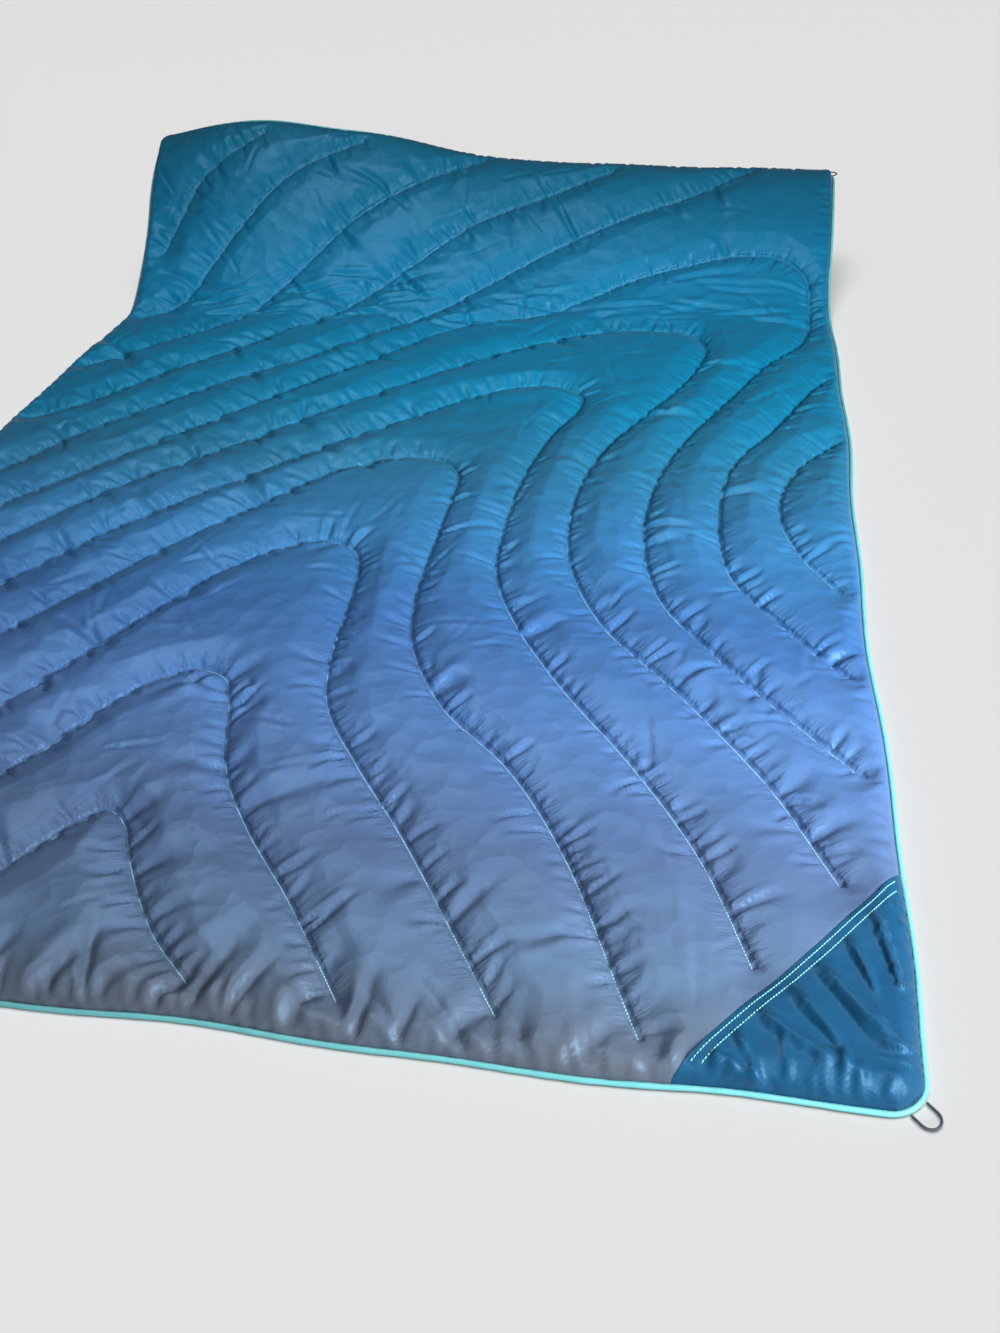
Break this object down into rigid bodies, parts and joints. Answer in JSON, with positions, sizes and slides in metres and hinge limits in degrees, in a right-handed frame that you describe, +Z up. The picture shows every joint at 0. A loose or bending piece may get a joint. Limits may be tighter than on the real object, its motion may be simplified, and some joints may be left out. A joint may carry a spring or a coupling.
{
  "type": "camp blanket",
  "caption": "Quilted insulated camp blanket with piped edges, wave quilting and a corner patch, laid with its head end raised, and cord loops that swing at its corners.",
  "frame": {"origin": "under the middle of the whole object, on the surface that it lies on", "axes": "+Y from the foot edge to the head edge, +X towards the side with the corner patch, +Z up from the flat underside"},
  "size_m": [1.3432, 1.894, 0.2822],
  "materials": {
    "face_fabric": "glossy ripstop taffeta, printed from teal at the head through blue to charcoal at the foot",
    "back_fabric": "satin ripstop taffeta, plain dark teal",
    "batting": "soft white synthetic fill",
    "patch_fabric": "glossy taffeta, plain teal blue",
    "piping_fabric": "satin mint",
    "patch_thread": "mint polyester thread",
    "quilting_thread": "pale teal polyester thread",
    "seam_thread": "dark polyester thread",
    "loop_cord": "braided charcoal cord"
  },
  "bodies": {
    "blanket": {"back_shell": "back_fabric", "insulation": "batting", "face_shell": "face_fabric", "edge_piping": "piping_fabric", "closing_seam_thread": "seam_thread", "corner_patch": "patch_fabric", "patch_topstitch_1": "patch_thread", "patch_topstitch_2": "patch_thread", "quilt_stitch_01": "quilting_thread", "quilt_stitch_02": "quilting_thread", "quilt_stitch_03": "quilting_thread", "quilt_stitch_04": "quilting_thread", "quilt_stitch_05": "quilting_thread", "quilt_stitch_06": "quilting_thread", "quilt_stitch_07": "quilting_thread", "quilt_stitch_08": "quilting_thread", "quilt_stitch_09": "quilting_thread", "quilt_stitch_10": "quilting_thread", "quilt_stitch_11": "quilting_thread", "quilt_stitch_12": "quilting_thread", "quilt_stitch_13": "quilting_thread", "quilt_stitch_14": "quilting_thread"},
    "loop_foot_right": {"corner_loop_foot_right": "loop_cord"},
    "loop_foot_left": {"corner_loop_foot_left": "loop_cord"},
    "loop_head_right": {"corner_loop_head_right": "loop_cord"}
  },
  "joints": [
    {"name": "foot_right_loop_hinge", "type": "hinge", "parent": "blanket", "child": "loop_foot_right", "pos_m": [0.65518, -0.93059, 0.0025], "axis": [-0.7071, -0.7071, 0], "range_deg": [-90, 90], "stiffness_Nm_per_rad": 0.0003},
    {"name": "foot_left_loop_hinge", "type": "hinge", "parent": "blanket", "child": "loop_foot_left", "pos_m": [-0.65518, -0.93059, 0.0025], "axis": [-0.7071, 0.7071, 0], "range_deg": [-90, 90], "stiffness_Nm_per_rad": 0.0003},
    {"name": "head_right_loop_hinge", "type": "hinge", "parent": "blanket", "child": "loop_head_right", "pos_m": [0.65525, 0.93054, 0.1577], "axis": [0.7117, -0.6998, -0.0617], "range_deg": [-90, 90], "stiffness_Nm_per_rad": 0.0003}
  ]
}
